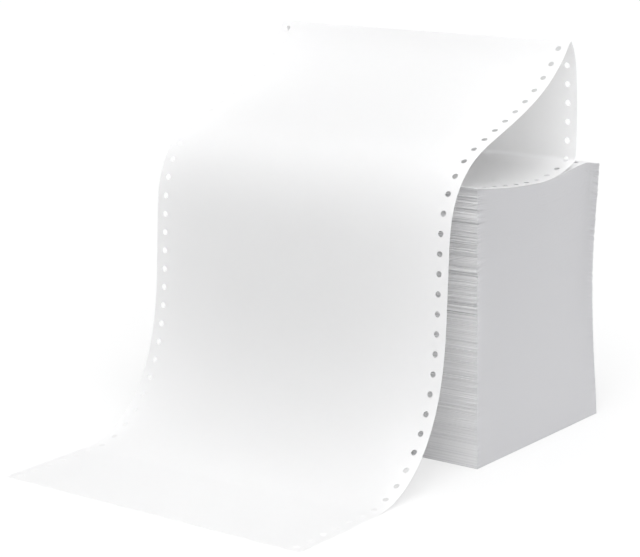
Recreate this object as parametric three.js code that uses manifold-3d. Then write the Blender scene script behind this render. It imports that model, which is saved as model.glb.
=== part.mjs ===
// Fanfold continuous form paper. One long strip with sprocket holes along both edges is
// folded back and forth into a pile. Its top end is drawn up behind the middle of the pile,
// folded over at a peak, and runs forward and down over the front of the pile to the table.
// Millimetres. X runs across the paper, Y from front to back and Z up.

import * as THREE from 'three';
import { mergeVertices } from 'three/addons/utils/BufferGeometryUtils.js';
import Module from 'manifold-3d';

// The strip
const PAPER_WIDTH = 241.3;
const PAPER_THICKNESS = 0.1;
const FORM_LENGTH = 50.8; // from one cross perforation to the next
const HOLE_PITCH = 12.7;
const HOLE_DIAMETER = 4;
const HOLE_INSET = 7; // from the cut edge to the middle of a hole

// How many forms lie between the folds
const FORMS_PER_PAGE = 3; // the depth of the pile
const FORMS_RISING = 4; // from the pile's top front fold to the peak
const FORMS_FALLING = 9; // from the peak to the free end

// The pile: the springy folds hold its front and back edges higher than its middle
const FRONT_HEIGHT = 184.8;
const BACK_HEIGHT = 178;
const TOP_DISH = 5;
const BACK_SWELL = 4.2; // the top pages also bulge up a little before the back folds
const SWELL_RISE = 55; // from where the bulge starts to its crest
const SWELL_FALL = 21; // from its crest to the back folds
const BUNDLE_HEIGHT = 3; // folds nest in bundles, which show as ridges
const NOSE_DEPTH = 1.1; // how far a bundle's blunt nose stands out
const NOSE_SHARE = 0.4; // how much of a bundle's height its nose takes up
const NOSE_SCATTER = 0.6; // how unevenly the noses line up

// The rising sheet: it lifts off the pile, turns up sharply and leans forward to the peak
const WALL_FROM_BACK = 33; // from the pile's back face to the upright sheet
const LIFT_LENGTH = 44;
const LIFT_HEADING = 20;
const TURN_LENGTH = 5;
const FOOT_HEADING = 85;
const TIP_LENGTH = 28; // the last stretch below the peak, which leans the most
const TIP_START_HEADING = 94;
const TIP_END_HEADING = 128;
const PEAK_FOLD_LENGTH = 2;

// The falling sheet, with its slopes in degrees below level
const PEAK_SLOPE = 54.5;
const RAMP_LENGTH = 8; // the nearly straight stretch over the top of the pile
const RAMP_SLOPE = 19;
const BROW_LENGTH = 93; // where the sheet rolls over the front of the pile
const HANGING_SLOPE = 86;
const DROP_LENGTH = 28; // the straight hanging stretch
const STAND_OFF = 31; // from the pile's front face to the hanging sheet
const FLARE_EASE = 1.85; // a higher power keeps the bend closer to the table

// How finely the curves are cut
const STEP_TURN = 4;
const TOP_STEPS = 12;
const HOLE_SIDES = 12;

// How far the hole cutters reach past what they cut
const CUTTER_REACH = 0.6;
const SHEET_CUTTER_LENGTH = 2;

// Points of a mesh that lie closer than this are one point
const WELD_DISTANCE = 1e-5;

const PAGE_DEPTH = FORMS_PER_PAGE * FORM_LENGTH;
const PEAK_RUN = FORMS_RISING * FORM_LENGTH;
const STRIP_RUN = (FORMS_RISING + FORMS_FALLING) * FORM_LENGTH;
const HALF_SHEET = PAPER_THICKNESS / 2;

// Ways in which a bend shares out its turn along its length
const evenly = (t) => t;
const earlier = (t) => 1 - (1 - t) ** 2;
const later = (t) => t ** 2;
const towardsTheEnd = (t) => t ** FLARE_EASE;
const smoothly = (t) => t * t * (3 - 2 * t);

const radians = THREE.MathUtils.degToRad;

// Height of the pile's upper face, from its front edge at y = 0 to its back edge
function topHeight(y) {
  const t = y / PAGE_DEPTH;
  const dished = THREE.MathUtils.lerp(FRONT_HEIGHT, BACK_HEIGHT, t) - 4 * TOP_DISH * t * (1 - t);
  const beforeCrest = PAGE_DEPTH - SWELL_FALL - y;
  const climbed = beforeCrest > 0 ? 1 - beforeCrest / SWELL_RISE : (PAGE_DEPTH - y) / SWELL_FALL;
  return dished + BACK_SWELL * smoothly(THREE.MathUtils.clamp(climbed, 0, 1));
}

// A path is the middle of the sheet seen from the side: stations with their place, the
// heading there in degrees (0 is backwards, 90 up, 180 forwards) and the run of paper so far.
function extend(path, length, heading, turn) {
  const last = path.at(-1);
  path.push({
    y: last.y + length * Math.cos(radians(heading)),
    z: last.z + length * Math.sin(radians(heading)),
    heading: last.heading + turn,
    run: last.run + length,
  });
}

function bend(path, length, endHeading, ease = evenly) {
  const start = path.at(-1).heading;
  const turn = endHeading - start;
  const steps = Math.max(1, Math.ceil(Math.abs(turn) / STEP_TURN));
  for (let i = 0; i < steps; i += 1) {
    const middle = start + turn * ease((i + 0.5) / steps);
    extend(path, length / steps, middle, turn * (ease((i + 1) / steps) - ease(i / steps)));
  }
}

// How far forward and down a bend of a given length carries the sheet
function travel(length, startSlope, endSlope, ease = evenly) {
  const path = [{ y: 0, z: 0, heading: 180 + startSlope, run: 0 }];
  bend(path, length, 180 + endSlope, ease);
  return { forward: -path.at(-1).y, down: -path.at(-1).z };
}

// The lying stretch follows the pile's top from the front fold to where the sheet lifts off
function lyingPath(liftOff) {
  const start = { y: 0, z: topHeight(0) - HALF_SHEET };
  const path = [{ ...start, heading: 0, run: 0 }];
  for (let i = 1; i <= TOP_STEPS; i += 1) {
    const last = path.at(-1);
    const y = (liftOff * i) / TOP_STEPS;
    const z = topHeight(y) - HALF_SHEET;
    const heading = THREE.MathUtils.radToDeg(Math.atan2(z - last.z, y - last.y));
    path.push({ y, z, heading, run: last.run + Math.hypot(y - last.y, z - last.z) });
  }
  return path;
}

// The rising stretch, up to the middle of the peak's fold
function addRisingSheet(path) {
  bend(path, LIFT_LENGTH, LIFT_HEADING, evenly);
  bend(path, TURN_LENGTH, FOOT_HEADING, smoothly);
  const wall = PEAK_RUN - path.at(-1).run - TIP_LENGTH - PEAK_FOLD_LENGTH / 2;
  bend(path, wall, TIP_START_HEADING, evenly);
  bend(path, TIP_LENGTH, TIP_END_HEADING, later);
}

// The falling stretch: the curl under the peak is as long as it must be to carry the sheet
// past the pile's front, and the flare as long as it must be to bring it down to the table.
function addFallingSheet(path) {
  bend(path, PEAK_FOLD_LENGTH, 180 + PEAK_SLOPE, evenly);
  const peak = path.at(-1);

  const curl = travel(1, PEAK_SLOPE, RAMP_SLOPE, earlier);
  const ramp = travel(RAMP_LENGTH, RAMP_SLOPE, RAMP_SLOPE);
  const brow = travel(BROW_LENGTH, RAMP_SLOPE, HANGING_SLOPE, smoothly);
  const curlLength = (peak.y + STAND_OFF - ramp.forward - brow.forward) / curl.forward;
  bend(path, curlLength, 180 + RAMP_SLOPE, earlier);
  bend(path, RAMP_LENGTH, 180 + RAMP_SLOPE);
  bend(path, BROW_LENGTH, 180 + HANGING_SLOPE, smoothly);
  bend(path, DROP_LENGTH, 180 + HANGING_SLOPE);

  const flare = travel(1, HANGING_SLOPE, 0, towardsTheEnd);
  const flareLength = (path.at(-1).z - HALF_SHEET) / flare.down;
  bend(path, flareLength, 180, towardsTheEnd);
  bend(path, STRIP_RUN - path.at(-1).run, 180);
}

// The sheet's two faces, half a sheet to the left and to the right of the path
function face(path, side) {
  return path.map(({ y, z, heading }) => {
    const across = radians(heading + 90 * side);
    return new THREE.Vector2(
      y + HALF_SHEET * Math.cos(across),
      z + HALF_SHEET * Math.sin(across),
    );
  });
}

// Where a bundle's nose stands, unevenly but the same each time: the golden angle never
// brings two neighbours to the same place
function noseScatter(bundle) {
  const GOLDEN_ANGLE = 2.39996;
  return NOSE_SCATTER * (0.5 + 0.5 * Math.sin(bundle * GOLDEN_ANGLE));
}

// The ridged face that the folds make, from the bottom up; out is -1 in front and 1 behind
function foldFace(y, height, out) {
  const bundles = Math.max(1, Math.round(height / BUNDLE_HEIGHT));
  const pitch = height / bundles;
  const points = [];
  for (let i = 0; i < bundles; i += 1) {
    const groove = y - out * NOSE_DEPTH;
    const nose = y - out * noseScatter(out > 0 ? i + bundles : i);
    points.push(new THREE.Vector2(groove, i * pitch));
    points.push(new THREE.Vector2(nose, (i + 0.5 - NOSE_SHARE / 2) * pitch));
    points.push(new THREE.Vector2(nose, (i + 0.5 + NOSE_SHARE / 2) * pitch));
  }
  return points;
}

// The pile's upper face behind the place where the sheet lifts off
function bareTop(liftOff) {
  const points = [];
  for (let i = 1; i <= TOP_STEPS; i += 1) {
    const y = THREE.MathUtils.lerp(liftOff, PAGE_DEPTH - NOSE_DEPTH, i / TOP_STEPS);
    points.push(new THREE.Vector2(y, topHeight(y) - PAPER_THICKNESS));
  }
  return points;
}

// The whole strip seen from the side, as one closed outline
function outline(path, liftOff) {
  const lying = path.filter((station) => station.y <= liftOff && station.run < PEAK_RUN / 2);
  const inner = face(path, 1);
  inner[0].x = NOSE_DEPTH / 2;
  const outer = face(path.slice(lying.length), -1).reverse();
  return [
    ...foldFace(0, FRONT_HEIGHT, -1),
    ...inner,
    ...outer,
    new THREE.Vector2(liftOff, topHeight(liftOff) - PAPER_THICKNESS),
    ...bareTop(liftOff),
    ...foldFace(PAGE_DEPTH, BACK_HEIGHT - PAPER_THICKNESS, 1).reverse(),
  ];
}

// Shapes are drawn in X and Y and extruded along Z, so their axes move round to Y, Z and X
const SIDE_VIEW = new THREE.Matrix4().makeBasis(
  new THREE.Vector3(0, 1, 0),
  new THREE.Vector3(0, 0, 1),
  new THREE.Vector3(1, 0, 0),
);

function extrudeAcross(points) {
  const shape = new THREE.Shape(points);
  const geometry = new THREE.ExtrudeGeometry(shape, { depth: PAPER_WIDTH, bevelEnabled: false });
  geometry.translate(0, 0, -PAPER_WIDTH / 2);
  return geometry.applyMatrix4(SIDE_VIEW);
}

// The place and heading at a given run of paper
function stationAt(path, run) {
  const i = path.findIndex((station) => station.run >= run);
  const before = path[Math.max(0, i - 1)];
  const after = path[i];
  const t = (run - before.run) / (after.run - before.run);
  return {
    y: THREE.MathUtils.lerp(before.y, after.y, t),
    z: THREE.MathUtils.lerp(before.z, after.z, t),
    heading: THREE.MathUtils.radToDeg(Math.atan2(after.z - before.z, after.y - before.y)),
  };
}

// A round cutter whose axis lies in the side view, leaning back from upright by a tilt
function cutter(x, y, z, length, tilt) {
  const radius = HOLE_DIAMETER / 2;
  const geometry = new THREE.CylinderGeometry(radius, radius, length, HOLE_SIDES);
  geometry.rotateX(Math.PI / 2 + radians(tilt));
  return geometry.translate(x, y, z);
}

// The sprocket holes lie at the same pitch in every page, so they line up through the pile
function holeCutters(path, liftOff) {
  const cutters = [];
  const column = PAPER_WIDTH / 2 - HOLE_INSET;
  for (const x of [-column, column]) {
    for (let y = HOLE_PITCH / 2; y < PAGE_DEPTH; y += HOLE_PITCH) {
      const length = topHeight(y) + 2 * CUTTER_REACH;
      cutters.push(cutter(x, y, length / 2 - CUTTER_REACH, length, 0));
    }
    for (let run = HOLE_PITCH / 2; run < STRIP_RUN; run += HOLE_PITCH) {
      const { y, z, heading } = stationAt(path, run);
      const stillLying = run < PEAK_RUN / 2 && y < liftOff;
      if (!stillLying) cutters.push(cutter(x, y, z, SHEET_CUTTER_LENGTH, heading));
    }
  }
  return cutters;
}

// Joining and cutting
const wasm = await Module();
wasm.setup();

function toSolid(geometry) {
  const bare = geometry.clone();
  bare.deleteAttribute('normal');
  bare.deleteAttribute('uv');
  const merged = mergeVertices(bare, WELD_DISTANCE);
  return new wasm.Manifold(new wasm.Mesh({
    numProp: 3,
    vertProperties: new Float32Array(merged.attributes.position.array),
    triVerts: new Uint32Array(merged.index.array),
  }));
}

function toGeometry(solid) {
  const mesh = solid.getMesh();
  const geometry = new THREE.BufferGeometry();
  geometry.setAttribute('position', new THREE.BufferAttribute(mesh.vertProperties, 3));
  geometry.setIndex(new THREE.BufferAttribute(mesh.triVerts, 1));
  geometry.computeVertexNormals();
  return geometry;
}

function buildPaper() {
  const turnForward = -travel(TURN_LENGTH, -180 + LIFT_HEADING, -180 + FOOT_HEADING, smoothly).forward;
  const liftForward = LIFT_LENGTH * Math.cos(radians(LIFT_HEADING / 2));
  const liftOff = PAGE_DEPTH - WALL_FROM_BACK - turnForward - liftForward;

  const path = lyingPath(liftOff);
  addRisingSheet(path);
  addFallingSheet(path);

  const body = toSolid(extrudeAcross(outline(path, liftOff)));
  const holes = holeCutters(path, liftOff).map(toSolid);
  const paper = toGeometry(body.subtract(wasm.Manifold.union(holes)));

  // The origin lies on the table, in the middle of the floor space that the paper takes up
  paper.computeBoundingBox();
  const { min, max } = paper.boundingBox;
  return paper.translate(0, -(min.y + max.y) / 2, 0);
}

const WHITE_PAPER = new THREE.MeshStandardMaterial({
  name: 'paper',
  color: 0xf4f4f2,
  roughness: 0.9,
  metalness: 0,
});

const fanfold = new THREE.Mesh(buildPaper(), WHITE_PAPER);
fanfold.name = 'fanfold_paper';

const group = new THREE.Group();
group.add(fanfold);

export default group;
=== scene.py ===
# %% [markdown]
# # A pile of fanfold form paper
# One strip of white paper has sprocket holes down both cut edges, for the pins that pull it
# through a printer. It is folded back and forth into a pile. The top end is drawn up behind
# the middle of the pile, folded over at a peak, and falls forward over the pile to the table.
# The measured model gives the place and the size, and this lesson makes the paper itself.

# %% Load the measured model
import bisect
import math
import random

import bmesh
import bpy
from mathutils import Matrix, Vector, noise


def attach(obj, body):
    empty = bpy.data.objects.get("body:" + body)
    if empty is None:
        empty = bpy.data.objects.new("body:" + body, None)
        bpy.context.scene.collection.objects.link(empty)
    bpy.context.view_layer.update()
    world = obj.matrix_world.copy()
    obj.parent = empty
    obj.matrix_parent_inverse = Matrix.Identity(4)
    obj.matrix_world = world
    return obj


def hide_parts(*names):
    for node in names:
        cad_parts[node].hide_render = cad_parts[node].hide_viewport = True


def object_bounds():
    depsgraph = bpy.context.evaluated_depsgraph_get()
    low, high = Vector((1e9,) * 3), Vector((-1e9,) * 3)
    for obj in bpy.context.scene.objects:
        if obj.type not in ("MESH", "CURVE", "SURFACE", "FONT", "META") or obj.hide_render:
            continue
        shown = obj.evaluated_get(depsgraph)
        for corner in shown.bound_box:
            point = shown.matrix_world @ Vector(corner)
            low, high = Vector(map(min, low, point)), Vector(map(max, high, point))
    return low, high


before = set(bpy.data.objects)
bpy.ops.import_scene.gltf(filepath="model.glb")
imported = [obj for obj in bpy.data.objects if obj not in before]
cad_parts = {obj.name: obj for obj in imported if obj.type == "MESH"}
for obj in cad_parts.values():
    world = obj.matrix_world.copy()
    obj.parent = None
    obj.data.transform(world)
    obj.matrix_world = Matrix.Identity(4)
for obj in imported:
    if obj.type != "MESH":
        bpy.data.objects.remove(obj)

cad_low, cad_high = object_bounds()
print("measured model", [round(c, 4) for c in cad_low], [round(c, 4) for c in cad_high])

# %% [markdown]
# ## Camera
# The photo was taken from the right and a little above with a long lens, so the edges of the
# pile hardly converge. A long lens far away gives that flat look, where a short one close by
# would make the free end of the paper loom. The camera leans by about a degree.

# %% Camera
PHOTO_WIDTH = 640
FOCAL_PIXELS = 2159.3
CAMERA_PLACE = Vector((0.85715, -1.0935, 0.4440))
CAMERA_YAW = 37.833
CAMERA_PITCH = 13.358
CAMERA_ROLL = -0.961
SENSOR_WIDTH = 36.0
FARTHEST_SEEN = 50.0


def add_camera():
    """A camera that looks back from the right, down by its pitch and tilted by its roll."""
    data = bpy.data.cameras.new("camera")
    data.sensor_width = SENSOR_WIDTH
    data.lens = FOCAL_PIXELS / PHOTO_WIDTH * data.sensor_width
    data.clip_end = FARTHEST_SEEN
    camera = bpy.data.objects.new("camera", data)
    yaw = Matrix.Rotation(math.radians(CAMERA_YAW), 4, "Z")
    pitch = Matrix.Rotation(math.radians(90.0 - CAMERA_PITCH), 4, "X")
    roll = Matrix.Rotation(math.radians(CAMERA_ROLL), 4, "Z")
    camera.matrix_world = Matrix.Translation(CAMERA_PLACE) @ yaw @ pitch @ roll
    bpy.context.collection.objects.link(camera)
    bpy.context.scene.camera = camera
    print("camera lens", round(data.lens, 1), "mm")


add_camera()

# %% [markdown]
# ## The size of the paper
# A strip of forms is measured by its holes: they lie 12.7 mm apart on every such paper, and
# every length along the strip is a whole number of them. The width and the back of the pile
# come from the measured model, and the heights of the pile are those it was built with.

# %% Sizes in metres
HOLE_PITCH = 0.0127
HOLE_RADIUS = 0.002
HOLE_INSET = 0.007
HOLES_PER_PAGE = 12
HOLES_RISING = 16
HOLES_FALLING = 36
SHEET = 0.0001
MERGE_DISTANCE = 1e-6

WIDTH = cad_high.x - cad_low.x
PAGE = HOLES_PER_PAGE * HOLE_PITCH
BACK_Y = cad_high.y
FRONT_Y = BACK_Y - PAGE
FRONT_HEIGHT = 0.1848
BACK_HEIGHT = 0.178
TOP_DISH = 0.005
BACK_SWELL = 0.0042
SWELL_RISE = 0.055
SWELL_FALL = 0.021
print("page", round(PAGE, 4), "front of the pile at y", round(FRONT_Y, 4))


def smoothly(t):
    """A share from 0 to 1 that starts and stops gently."""
    return t * t * (3 - 2 * t)


def top_height(y):
    """Height of the pile's upper face: dished between its folds, swollen before the back."""
    t = (y - FRONT_Y) / PAGE
    dished = FRONT_HEIGHT + (BACK_HEIGHT - FRONT_HEIGHT) * t - 4 * TOP_DISH * t * (1 - t)
    crest = BACK_Y - SWELL_FALL
    climbed = 1 - (crest - y) / SWELL_RISE if y < crest else (BACK_Y - y) / SWELL_FALL
    return dished + BACK_SWELL * smoothly(min(max(climbed, 0.0), 1.0))


# %% [markdown]
# ## The path of the free sheet
# Paper bends but it doesn't stretch, so the sheet is best described by its heading at each
# length of paper. Added up step by step, the headings give a curve whose length is right by
# itself. A curve object through hand-placed points would look alike, but its length would
# change with every point, and the holes would no longer be evenly spaced.

# %% Bends
STEP = 0.0005
FEWEST_STEPS = 4
FLARE_EASE = 1.85

# Each of the next four tells how much of a bend is done at a share of its length.


def evenly(t):
    return t


def earlier(t):
    return 1 - (1 - t) ** 2


def later(t):
    return t ** 2


def towards_the_end(t):
    return t ** FLARE_EASE


def bend(path, length, end_heading, share=evenly):
    """Carry a path on by a length of paper that turns to a new heading, in degrees."""
    y, z, heading, run = path[-1]
    turn = end_heading - heading
    steps = max(FEWEST_STEPS, math.ceil(length / STEP))
    for i in range(steps):
        middle = math.radians(heading + turn * share((i + 0.5) / steps))
        y += length / steps * math.cos(middle)
        z += length / steps * math.sin(middle)
        now = heading + turn * share((i + 1) / steps)
        path.append((y, z, now, run + length * (i + 1) / steps))


def travel(length, start_slope, end_slope, share=evenly):
    """How far forward and down a falling bend carries the sheet."""
    path = [(0.0, 0.0, 180 + start_slope, 0.0)]
    bend(path, length, 180 + end_slope, share)
    return -path[-1][0], -path[-1][1]


# %% The path from the pile's front fold to the free end
# A bend has a length of paper and the slope at its end, in degrees. TIP has two slopes, at its
# start and at its end. Slopes point up as far as the peak, and down after it.
FOLD_RADIUS = 0.00015
WALL_FROM_BACK = 0.033
LIFT = (0.044, 20)
TURN = (0.005, 85)
TIP = (0.028, 94, 128)
PEAK_FOLD = 0.002
PEAK_SLOPE = 54.5
RAMP = (0.008, 19)
BROW = (0.093, 86)
DROP = 0.028
STAND_OFF = 0.031


def lying_path(lift_off):
    """From the front fold over the pile's dished top to where the sheet lifts off."""
    path = [(FRONT_Y, top_height(FRONT_Y) - SHEET / 2 - FOLD_RADIUS, 90.0, 0.0)]
    bend(path, FOLD_RADIUS * math.pi / 2, 0)
    start = path[-1][0]
    steps = math.ceil((lift_off - start) / STEP)
    for i in range(1, steps + 1):
        y0, z0, _, run = path[-1]
        y = start + (lift_off - start) * i / steps
        z = top_height(y) - SHEET / 2
        heading = math.degrees(math.atan2(z - z0, y - y0))
        path.append((y, z, heading, run + math.hypot(y - y0, z - z0)))
    return path


def sheet_path():
    """The whole free sheet: lying, lifting, rising, folded over, falling, lying again."""
    turn = [(0.0, 0.0, LIFT[1], 0.0)]
    bend(turn, TURN[0], TURN[1], smoothly)
    lift_forward = LIFT[0] * math.cos(math.radians(LIFT[1] / 2))
    path = lying_path(BACK_Y - WALL_FROM_BACK - turn[-1][0] - lift_forward)
    bend(path, *LIFT)
    bend(path, *TURN, smoothly)
    wall = HOLES_RISING * HOLE_PITCH - path[-1][3] - TIP[0] - PEAK_FOLD / 2
    bend(path, wall, TIP[1])
    bend(path, TIP[0], TIP[2], later)
    bend(path, PEAK_FOLD, 180 + PEAK_SLOPE)
    peak_y = path[-1][0]
    curl = travel(1.0, PEAK_SLOPE, RAMP[1], earlier)
    ramp = travel(RAMP[0], RAMP[1], RAMP[1])
    brow = travel(BROW[0], RAMP[1], BROW[1], smoothly)
    reach = peak_y - FRONT_Y + STAND_OFF - ramp[0] - brow[0]
    bend(path, reach / curl[0], 180 + RAMP[1], earlier)
    bend(path, RAMP[0], 180 + RAMP[1])
    bend(path, BROW[0], 180 + BROW[1], smoothly)
    bend(path, DROP, 180 + BROW[1])
    flare = travel(1.0, BROW[1], 0, towards_the_end)
    bend(path, (path[-1][1] - SHEET / 2) / flare[1], 180, towards_the_end)
    whole = (HOLES_RISING + HOLES_FALLING) * HOLE_PITCH
    bend(path, whole - path[-1][3], 180)
    return path


path = sheet_path()
runs = [station[3] for station in path]
top = max(station[1] for station in path)
print("free sheet", round(runs[-1], 4), "m long, free end at y", round(path[-1][0], 4))
print("peak", round(top, 4), "in the measured model", round(cad_high.z, 4))


def place_on_path(run):
    """The place in the side view at a length of paper from the front fold."""
    i = min(max(bisect.bisect_left(runs, run), 1), len(runs) - 1)
    y0, z0, _, r0 = path[i - 1]
    y1, z1, _, r1 = path[i]
    t = (run - r0) / (r1 - r0)
    return y0 + (y1 - y0) * t, z0 + (z1 - z0) * t


# %% [markdown]
# ## The punched strip
# The real holes are punched while the paper is flat, and the paper is bent afterwards. This
# does the same. One hole sits in one cell of the margin: two rings of points, the inner one
# round and the outer one pushed out to the cell's edges, with faces bridged between them. The
# cell is mirrored to the other margin, the paper between them is extruded across, and the
# finished slice is repeated. A Boolean would punch holes too, but it leaves long thin faces
# round each hole, which shade badly once the paper bends. Every cut edge is marked sharp:
# smoothed over, it would smear a grey halo round each hole.

# %% Helpers for meshes
def everything(bm):
    return bm.verts[:] + bm.edges[:] + bm.faces[:]


def finish_piece(bm, name):
    """Write a bmesh to a new object at the origin, smooth but for its crisp cut edges."""
    for edge in bm.edges:
        edge.smooth = not edge.is_boundary
    mesh = bpy.data.meshes.new(name)
    bm.to_mesh(mesh)
    bm.free()
    piece = bpy.data.objects.new(name, mesh)
    bpy.context.collection.objects.link(piece)
    for polygon in mesh.polygons:
        polygon.use_smooth = True
    return piece


# %% One slice of the strip, and the strip
def punched_slice(hole_sides, across_steps):
    """One pitch of flat paper, with X across it, Y along it and a hole in each margin."""
    bm = bmesh.new()
    bmesh.ops.create_circle(bm, segments=hole_sides, radius=HOLE_RADIUS)
    ring = bmesh.ops.create_circle(bm, segments=hole_sides, radius=HOLE_PITCH)
    for vert in ring["verts"]:
        reach = max(abs(vert.co.x), abs(vert.co.y))
        vert.co.x *= HOLE_INSET / reach
        vert.co.y *= HOLE_PITCH / 2 / reach
    bmesh.ops.bridge_loops(bm, edges=bm.edges[:])
    bmesh.ops.translate(bm, verts=bm.verts[:], vec=(HOLE_INSET - WIDTH / 2, HOLE_PITCH / 2, 0))
    inner_x = 2 * HOLE_INSET - WIDTH / 2
    inner = [e for e in bm.edges if all(abs(v.co.x - inner_x) < MERGE_DISTANCE for v in e.verts)]
    bmesh.ops.mirror(bm, geom=everything(bm), axis="X", merge_dist=-1.0)
    step = -2 * inner_x / across_steps
    for _ in range(across_steps):
        grown = bmesh.ops.extrude_edge_only(bm, edges=inner)["geom"]
        inner = [g for g in grown if isinstance(g, bmesh.types.BMEdge)]
        verts = [g for g in grown if isinstance(g, bmesh.types.BMVert)]
        bmesh.ops.translate(bm, verts=verts, vec=(step, 0, 0))
    bmesh.ops.remove_doubles(bm, verts=bm.verts[:], dist=MERGE_DISTANCE)
    return bm


def punched_strip(slices, hole_sides, across_steps):
    """The slice repeated along the strip and joined up."""
    bm = punched_slice(hole_sides, across_steps)
    first = everything(bm)
    for k in range(1, slices):
        copy = bmesh.ops.duplicate(bm, geom=first)["geom"]
        verts = [g for g in copy if isinstance(g, bmesh.types.BMVert)]
        bmesh.ops.translate(bm, verts=verts, vec=(0, k * HOLE_PITCH, 0))
    bmesh.ops.remove_doubles(bm, verts=bm.verts[:], dist=MERGE_DISTANCE)
    return bm


# %% [markdown]
# ## Bending the strip
# A tight bend needs more points than a wide one. Loops are cut across the flat strip each
# time the path has turned by a small angle, and then every point moves to its place on the
# path. The flat places are kept as the UV map, in metres, so a pattern printed on the paper
# would bend with it.

# %% The free sheet
TURN_PER_LOOP = 1.5
SHEET_HOLE_SIDES = 24
SHEET_STEPS_ACROSS = 16
CUT_REACH = 1e-7


def loop_runs():
    """Runs of paper at which the path has turned by one more small angle."""
    found = []
    last = path[0][2]
    for _, _, heading, run in path[1:-1]:
        if abs(heading - last) >= TURN_PER_LOOP:
            found.append(run)
            last = heading
    return found


def cut_loop(bm, run):
    """Cut a row of points across the flat strip."""
    bmesh.ops.bisect_plane(bm, geom=everything(bm), dist=CUT_REACH, plane_co=(0, run, 0),
                           plane_no=(0, 1, 0))


def keep_flat_places(bm):
    """Store each point's place on the flat strip as the UV map."""
    uv = bm.loops.layers.uv.new("flat")
    for face in bm.faces:
        for loop in face.loops:
            loop[uv].uv = (loop.vert.co.x, loop.vert.co.y)


def thicken(piece, thickness, rim_material=0):
    """Give a bent strip its thickness, half to each side, with a finish for its cut edges."""
    solid = piece.modifiers.new("thickness", "SOLIDIFY")
    solid.thickness = thickness
    solid.offset = 0.0
    solid.material_offset_rim = rim_material


def make_free_sheet():
    """The flat punched strip, bent along its path and given its thickness."""
    bm = punched_strip(HOLES_RISING + HOLES_FALLING, SHEET_HOLE_SIDES, SHEET_STEPS_ACROSS)
    loops = loop_runs()
    for run in loops:
        cut_loop(bm, run)
    print("free sheet: extra loops across it", len(loops))
    keep_flat_places(bm)
    for vert in bm.verts:
        vert.co.y, vert.co.z = place_on_path(vert.co.y)
    bmesh.ops.recalc_face_normals(bm, faces=bm.faces[:])
    sheet = finish_piece(bm, "free_sheet")
    thicken(sheet, SHEET)
    return sheet


free_sheet = make_free_sheet()
print("free sheet faces", len(free_sheet.data.polygons))

# %% [markdown]
# ## The pages in the pile
# A pile of form paper is one strip going back and forth, and its looks are its edges: on the
# two cut sides, hundreds of thin lines, and on the folded sides, rounded noses that never
# quite line up. A block with a striped texture looks flat at its corners and smooth along its
# outline. So the strip is made flat, folded at every page and given a thickness. Each leaf
# here stands for three real pages. At the folds air gets in, and leaves gather in bundles.
# A few millimetres from a fold they are pressed together, and low in the pile they lie more
# evenly at the folds too.

# %% Where the leaves lie
LEAF = 0.0003
LEAF_THICKNESS = 0.00026
LEAVES = 2 * round((FRONT_HEIGHT - SHEET) / LEAF / 2)
GAP_CHANCE = 0.16
GAP_WIDTH = 1.6
LEAST_GAP = 0.4
LEVEL_SCATTER = 0.1
BOTTOM_LOOSENESS = 0.3
OPEN_DEPTH = 0.004
SIDE_SCATTER = 0.00003
# Each leaf's folds get a random painted lightness: light on the noses, shade in the gaps.
MEAN_PAINTED_SHADE = 0.5
PAINTED_SHADE_SCATTER = 0.3
dice = random.Random(7)


def looseness(leaf):
    """Pages low in the pile are pressed by those above, so they lie more evenly."""
    return BOTTOM_LOOSENESS + leaf / LEAVES


def uneven_levels():
    """The leaves' levels at the folds, from 0 to 1: now and then a wider gap comes between."""
    steps = []
    for leaf in range(LEAVES):
        gap = dice.uniform(LEAST_GAP, 1.0) * GAP_WIDTH if dice.random() < GAP_CHANCE else 0.0
        steps.append(1.0 + gap * looseness(leaf) + dice.uniform(-LEVEL_SCATTER, LEVEL_SCATTER))
    total = sum(steps)
    levels = []
    level = 0.0
    for step in steps:
        levels.append((level + step / 2) / total)
        level += step
    return levels


def painted_leaf_shade(leaf):
    """A leaf's painted light and shade at its folds, from 0 (darkest) to 1, drawn at random."""
    return min(max(dice.gauss(MEAN_PAINTED_SHADE, PAINTED_SHADE_SCATTER * looseness(leaf)), 0), 1)


def fold_share(from_fold):
    """How much of the unevenness at a fold is left at a distance from it."""
    return math.exp(-from_fold / OPEN_DEPTH)


def leaf_height(leaf, y):
    """The middle of a leaf at a place between front and back; the last one is the free sheet."""
    if leaf >= LEAVES:
        return top_height(y) - SHEET / 2
    openness = fold_share(max(min(y - FRONT_Y, BACK_Y - y), 0.0))
    even = (leaf + 0.5) / LEAVES
    level = even + (levels_at_folds[leaf] - even) * openness
    return level * (top_height(y) - SHEET)


levels_at_folds = uneven_levels()
side_shift = [dice.gauss(0, SIDE_SCATTER) for _ in range(LEAVES)]
# Painted light and shade for each leaf's folds.
leaf_painted_shade = [painted_leaf_shade(leaf) for leaf in range(LEAVES)]
print("leaves in the pile", LEAVES, "each", LEAF, "m")

# %% [markdown]
# ## Folding
# A place on the flat strip has a leaf and a distance to the nearest fold. Away from the folds
# it goes straight back or forward at its leaf's height. Close to a fold it swings round a
# small half circle to the next leaf. Folds are numbered from the bottom, and every second one
# is in front. How far a fold stands out comes from three sizes of unevenness together: slow
# drifts of the whole pile, bundles of a few leaves, and single folds.

# %% How far each fold stands out
NOSE = 0.0009
DRIFT = 0.00035
BUNDLE_SCATTER = 0.0006
FOLD_SCATTER = 0.0004

# A course through the smooth noise has a rate from fold to fold, a start and a level.
DRIFT_COURSE = (0.02, 9.2, 5.0)
BUNDLE_COURSE = (0.17, 1.7, 0.0)
BACK_FOLDS_COURSE = 40.0


def wander(fold, rate, start, level):
    """Smooth unevenness from fold to fold, on a course of its own for the back folds."""
    return noise.noise(Vector((fold * rate, fold % 2 * BACK_FOLDS_COURSE + start, level)))


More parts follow.
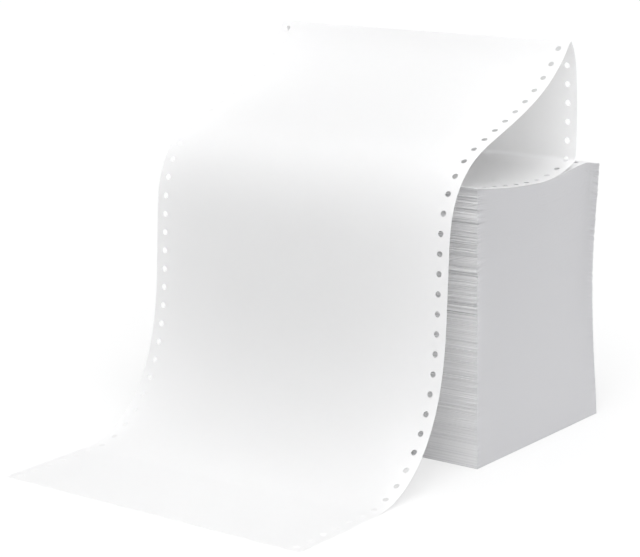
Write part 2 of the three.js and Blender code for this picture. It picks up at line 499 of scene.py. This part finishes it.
def uneven_reach(fold):
    """How far a fold's nose stands out past, or stays behind, the pile's face."""
    drift = DRIFT * wander(fold, *DRIFT_COURSE)
    bundle = BUNDLE_SCATTER * wander(fold, *BUNDLE_COURSE)
    single = FOLD_SCATTER * dice.uniform(-1, 1)
    return drift + (bundle + single) * looseness(fold)


nose_reach = [uneven_reach(fold) for fold in range(LEAVES + 1)]
nose_reach[0] = 0.0
nose_reach[LEAVES] = NOSE
print("folds reach from", round(min(nose_reach), 5), "to", round(max(nose_reach), 5))

# %% [markdown]
# ## Where a point of the flat strip goes
# The pile isn't quite square: its pages are turned a little, most at half height, which gives
# the side a slight waist. That turn comes last, after the fold itself.

# %% Fold a strip
NOSE_RUN = 0.0009
NOSE_SETBACK = NOSE / 3
TWIST = 1.7
TWIST_SHARPNESS = 1.3
ROUNDING = 1e-6


def twisted(co):
    """Turn a point a little about the pile's front right edge, most at half height."""
    share = min(max(co.z / FRONT_HEIGHT, 0.0), 1.0)
    turn = math.radians(TWIST) * math.sin(math.pi * share) ** TWIST_SHARPNESS
    pivot = Vector((WIDTH / 2, FRONT_Y, 0))
    return pivot + Matrix.Rotation(turn, 3, "Z") @ (co - pivot)


def folded(leaf, along):
    """The side view place of a point on a leaf, at a distance from the leaf's lower fold."""
    from_fold = min(along, PAGE - along)
    fold = leaf if along < PAGE / 2 else leaf + 1
    out = 1 if fold % 2 else -1
    tip = (BACK_Y if out > 0 else FRONT_Y) - out * (NOSE - nose_reach[fold])
    if from_fold >= NOSE_RUN or fold == 0:
        y = tip - out * (from_fold + NOSE_SETBACK)
        return y, leaf_height(leaf, y)
    swing = math.radians(90) * from_fold / NOSE_RUN
    start = tip - out * (NOSE_RUN + NOSE_SETBACK)
    other = leaf - 1 if along < PAGE / 2 else leaf + 1
    here = leaf_height(leaf, start)
    middle = (here + leaf_height(other, start)) / 2
    y = start + out * (NOSE_RUN + NOSE_SETBACK) * math.cos(swing)
    return y, middle + (here - middle) * math.sin(swing)


def fold_up(bm, first, count):
    """Take a flat strip to its place in the pile, and note each leaf's painted light and shade.
    """
    painted_shade = bm.verts.layers.float.new("painted_shade")
    for vert in bm.verts:
        leaf = min(int(vert.co.y / PAGE + ROUNDING), count - 1)
        along = min(max(vert.co.y - leaf * PAGE, 0.0), PAGE)
        y, z = folded(first + leaf, along)
        share = fold_share(min(along, PAGE - along))
        # Painted light and shade, strongest at the folds and fading away from them.
        vert[painted_shade] = MEAN_PAINTED_SHADE + (leaf_painted_shade[first + leaf] - MEAN_PAINTED_SHADE) * share
        place = Vector((vert.co.x + side_shift[first + leaf], y, max(z, LEAF_THICKNESS / 2)))
        vert.co = twisted(place)


# %% [markdown]
# ## The plain leaves
# Inside the pile nobody sees the holes, so most leaves are a plain band. It starts as a grid,
# one face across and many rows along. The rows are moved to where a leaf needs them: close
# together at the folds, further apart between, but still able to follow the pile's dish.

# %% Middle pages
PUNCHED_TOP = 18
PUNCHED_BOTTOM = 6
NOSE_ROWS = (0.0, 0.0003, 0.0006, 0.0009)
FLAT_ROWS = (0.003, 0.006, 0.01, 0.015, 0.02, 0.027, 0.035, 0.043, 0.051, 0.059, 0.067)
HALF_LEAF_ROWS = NOSE_ROWS + FLAT_ROWS
SECOND_HALF_ROWS = tuple(PAGE - row for row in reversed(HALF_LEAF_ROWS[1:]))
LEAF_ROWS = HALF_LEAF_ROWS + (PAGE / 2,) + SECOND_HALF_ROWS


def add_pages(bm, name, first, count):
    """Fold a flat strip, shade it and give it a leaf's thickness."""
    keep_flat_places(bm)
    fold_up(bm, first, count)
    bmesh.ops.recalc_face_normals(bm, faces=bm.faces[:])
    pages = finish_piece(bm, name)
    thicken(pages, LEAF_THICKNESS, rim_material=1)
    print(name, "leaves", count, "faces", len(pages.data.polygons))
    return pages


def plain_pages(name, first, count):
    """Leaves without holes, from a grid whose rows are moved to where the leaves need them."""
    bm = bmesh.new()
    rows = count * len(LEAF_ROWS)
    bmesh.ops.create_grid(bm, x_segments=1, y_segments=rows, size=0.5)
    for vert in bm.verts:
        row = round((vert.co.y + 0.5) * rows)
        leaf = min(row // len(LEAF_ROWS), count - 1)
        step = row - leaf * len(LEAF_ROWS)
        along = LEAF_ROWS[step] if step < len(LEAF_ROWS) else PAGE
        vert.co.x *= WIDTH
        vert.co.y = leaf * PAGE + along
    return add_pages(bm, name, first, count)


middle_count = LEAVES - PUNCHED_TOP - PUNCHED_BOTTOM
middle_pages = plain_pages("middle_pages", PUNCHED_BOTTOM, middle_count)

# %% [markdown]
# ## The punched leaves
# The holes of all pages lie over each other. They can be looked into from above and below, so
# the leaves there are folded from the punched strip. Their holes are small in any view, so
# they have fewer sides than those of the free sheet.

# %% Top and bottom pages
PAGE_HOLE_SIDES = 16
PAGE_STEPS_ACROSS = 4


def punched_pages(name, first, count):
    """Leaves with holes, and with more rows of points where they turn at the folds."""
    bm = punched_strip(count * HOLES_PER_PAGE, PAGE_HOLE_SIDES, PAGE_STEPS_ACROSS)
    for leaf in range(count):
        for row in NOSE_ROWS[1:]:
            cut_loop(bm, leaf * PAGE + row)
            cut_loop(bm, (leaf + 1) * PAGE - row)
    return add_pages(bm, name, first, count)


bottom_pages = punched_pages("bottom_pages", 0, PUNCHED_BOTTOM)
top_pages = punched_pages("top_pages", LEAVES - PUNCHED_TOP, PUNCHED_TOP)

# %% [markdown]
# ## Paper
# White printing paper is never one flat white. Its pulp settles unevenly, which leaves faint
# clouds, and close up its fibres make it slightly rough. A single sheet also lets some light
# through, so the raised sheet glows softly on the side away from the lamps. A Translucent
# shader mixed into the surface does that. Subsurface scattering would too, but it is slower
# and is meant for thick things.

# %% Helpers for finishes
SHINE = 0.2
FIBRE_STRENGTH = 0.25
FIBRE_DEPTH = 0.00003
FIBRE_NOISE = (2500.0, 6.0)
CLOUD_NOISE = (220.0, 4.0)


def new_material(name, colour, roughness):
    """A material with a Principled shader, and the nodes that drive it."""
    material = bpy.data.materials.new(name)
    material.use_nodes = True
    tree = material.node_tree
    shader = tree.nodes["Principled BSDF"]
    shader.inputs["Base Color"].default_value = (*colour, 1.0)
    shader.inputs["Roughness"].default_value = roughness
    shader.inputs["Specular IOR Level"].default_value = SHINE
    return material, tree, shader


def add_node(tree, kind, **settings):
    """A new node with its settings."""
    node = tree.nodes.new(kind)
    for name, value in settings.items():
        setattr(node, name, value)
    return node


def mixed_colour(tree, factor, dark, light):
    """A colour between two near whites."""
    mix = add_node(tree, "ShaderNodeMix", data_type="RGBA")
    mix.inputs["A"].default_value = (*dark, 1.0)
    mix.inputs["B"].default_value = (*light, 1.0)
    tree.links.new(factor, mix.inputs["Factor"])
    return mix.outputs["Result"]


def noise_factor(tree, where, scale, detail):
    """A soft random pattern, from 0 to 1."""
    pattern = add_node(tree, "ShaderNodeTexNoise")
    pattern.inputs["Scale"].default_value = scale
    pattern.inputs["Detail"].default_value = detail
    tree.links.new(where, pattern.inputs["Vector"])
    return pattern.outputs["Fac"]


def fibre_bump(tree, shader, where):
    """The fine tooth of the fibres."""
    bump = add_node(tree, "ShaderNodeBump")
    bump.inputs["Strength"].default_value = FIBRE_STRENGTH
    bump.inputs["Distance"].default_value = FIBRE_DEPTH
    tree.links.new(noise_factor(tree, where, *FIBRE_NOISE), bump.inputs["Height"])
    tree.links.new(bump.outputs["Normal"], shader.inputs["Normal"])


def mix_shaders(tree, first, second, output):
    """Mix two shaders for an output; what comes back is the input for the second one's share."""
    mix = add_node(tree, "ShaderNodeMixShader")
    tree.links.new(first, mix.inputs[1])
    tree.links.new(second, mix.inputs[2])
    tree.links.new(mix.outputs["Shader"], tree.nodes[output].inputs["Surface"])
    return mix.inputs["Fac"]


# %% Paper finishes
THROUGH_LIGHT = 0.52
THROUGH_COLOUR = (0.98, 0.98, 0.98, 1.0)
SHEET_TONES = ((0.97, 0.97, 0.972), (0.99, 0.99, 0.992))
# Page colour at the folds, from painted shade in the gaps to painted light on the noses.
PAGE_PAINTED_SHADES = ((0.7, 0.7, 0.71), (0.94, 0.94, 0.945))
# Cut edges painted grey and cool for the shade in the fine gaps between the pages.
CUT_EDGE_PAINTED_SHADES = ((0.565, 0.565, 0.58), (0.775, 0.775, 0.795))
ROUGH = 0.9
ROUGHER = 0.95


def sheet_material():
    """One sheet of paper, which lets some light through."""
    material, tree, shader = new_material("paper_sheet", (0.98, 0.98, 0.982), ROUGH)
    where = add_node(tree, "ShaderNodeTexCoord").outputs["Object"]
    clouds = noise_factor(tree, where, *CLOUD_NOISE)
    colour = mixed_colour(tree, clouds, *SHEET_TONES)
    tree.links.new(colour, shader.inputs["Base Color"])
    fibre_bump(tree, shader, where)
    through = add_node(tree, "ShaderNodeBsdfTranslucent")
    through.inputs["Color"].default_value = THROUGH_COLOUR
    share = mix_shaders(tree, shader.outputs["BSDF"], through.outputs["BSDF"], "Material Output")
    share.default_value = THROUGH_LIGHT
    return material


def page_material():
    """Pages in the pile, with paper behind them and no light coming through."""
    material, tree, shader = new_material("paper_page", (0.88, 0.88, 0.88), ROUGH)
    where = add_node(tree, "ShaderNodeTexCoord").outputs["Object"]
    # The painted light and shade of each leaf's folds sets the page colour.
    painted_shade = add_node(tree, "ShaderNodeAttribute", attribute_name="painted_shade").outputs["Fac"]
    colour = mixed_colour(tree, painted_shade, *PAGE_PAINTED_SHADES)
    tree.links.new(colour, shader.inputs["Base Color"])
    fibre_bump(tree, shader, where)
    return material


def cut_edge_material():
    """The cut edges of many pages, painted slightly greyer and cooler for the shade between
    them.
    """
    material, tree, shader = new_material("paper_cut_edge", (0.67, 0.67, 0.69), ROUGHER)
    # At the folds each leaf's cut edge is painted lighter or darker, for light and shade there.
    painted_shade = add_node(tree, "ShaderNodeAttribute", attribute_name="painted_shade").outputs["Fac"]
    colour = mixed_colour(tree, painted_shade, *CUT_EDGE_PAINTED_SHADES)
    tree.links.new(colour, shader.inputs["Base Color"])
    return material


paper_sheet = sheet_material()
paper_page = page_material()
cut_edge = cut_edge_material()
for piece in (bottom_pages, middle_pages, top_pages):
    piece.data.materials.append(paper_page)
    piece.data.materials.append(cut_edge)
free_sheet.data.materials.append(paper_sheet)
print("finishes", [finish.name for finish in (paper_sheet, paper_page, cut_edge)])

# %% [markdown]
# ## What each piece stands for
# Every piece is part of the one measured solid and rides on its body.

# %% Ride and replace
pieces = (free_sheet, bottom_pages, middle_pages, top_pages)
for piece in pieces:
    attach(piece, "root")
    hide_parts("fanfold_paper")
print("pieces", [piece.name for piece in pieces])

# %% [markdown]
# ## Floor and light
# The paper lies on a plain white floor in soft studio light. Two very wide suns stand for
# large soft boxes: one overhead, and one from the viewer's side. Unlike lamps close by, they
# light the far floor as brightly as the near floor, so the white ground has no falloff. The
# floor also shows the camera part of its white directly, which keeps its shadows pale. A weak
# glow from all round keeps the back of the pile from going dark.

# %% Floor, world and lamps
FLOOR_SIZE = 16.0
FLOOR_DROP = 0.0002
FLOOR_COLOUR = (0.85, 0.85, 0.85)
FLOOR_WHITE = 0.5
WORLD_COLOUR = (0.98, 0.985, 1.0, 1.0)
WORLD_LIGHT = 0.08
WHITE = (1.0, 1.0, 1.0, 1.0)

# Each lamp has the direction towards it, its width in degrees and its strength.
LIGHTS = (
    ("overhead", (0.0, 0.0, 1.0), 90, 2.22),
    ("viewer_side", (0.42, -0.56, 0.71), 60, 1.97),
)


def camera_share(tree, amount):
    """A factor that holds only for what the camera sees directly."""
    rays = add_node(tree, "ShaderNodeLightPath")
    share = add_node(tree, "ShaderNodeMath", operation="MULTIPLY")
    tree.links.new(rays.outputs["Is Camera Ray"], share.inputs[0])
    share.inputs[1].default_value = amount
    return share.outputs["Value"]


def add_floor():
    """A wide floor just under the paper, so the two faces never lie in one plane."""
    bm = bmesh.new()
    bmesh.ops.create_grid(bm, x_segments=1, y_segments=1, size=FLOOR_SIZE / 2)
    bmesh.ops.translate(bm, verts=bm.verts[:], vec=(0, 0, -FLOOR_DROP))
    floor = finish_piece(bm, "floor")
    material, tree, shader = new_material("floor_white", FLOOR_COLOUR, 1.0)
    glow = add_node(tree, "ShaderNodeEmission").outputs["Emission"]
    share = mix_shaders(tree, shader.outputs["BSDF"], glow, "Material Output")
    tree.links.new(camera_share(tree, FLOOR_WHITE), share)
    floor.data.materials.append(material)


def add_world():
    """Soft light from all round, and plain white where the camera looks past the floor."""
    world = bpy.data.worlds.new("studio")
    world.use_nodes = True
    tree = world.node_tree
    light = tree.nodes["Background"]
    light.inputs["Color"].default_value = WORLD_COLOUR
    light.inputs["Strength"].default_value = WORLD_LIGHT
    seen = add_node(tree, "ShaderNodeBackground")
    seen.inputs["Color"].default_value = WHITE
    backgrounds = (light.outputs["Background"], seen.outputs["Background"])
    share = mix_shaders(tree, *backgrounds, "World Output")
    tree.links.new(camera_share(tree, 1.0), share)
    bpy.context.scene.world = world


def add_light(name, direction, width, strength):
    """A sun that shines from a direction, as wide as a soft box."""
    data = bpy.data.lights.new(name, "SUN")
    data.energy = strength
    data.angle = math.radians(width)
    lamp = bpy.data.objects.new(name, data)
    lamp.rotation_euler = Vector(direction).to_track_quat("Z", "Y").to_euler()
    bpy.context.collection.objects.link(lamp)


add_floor()
add_world()
for light in LIGHTS:
    add_light(*light)
bpy.context.scene.view_settings.view_transform = "Standard"
print("floor", FLOOR_SIZE, "m wide, lamps", [light[0] for light in LIGHTS])
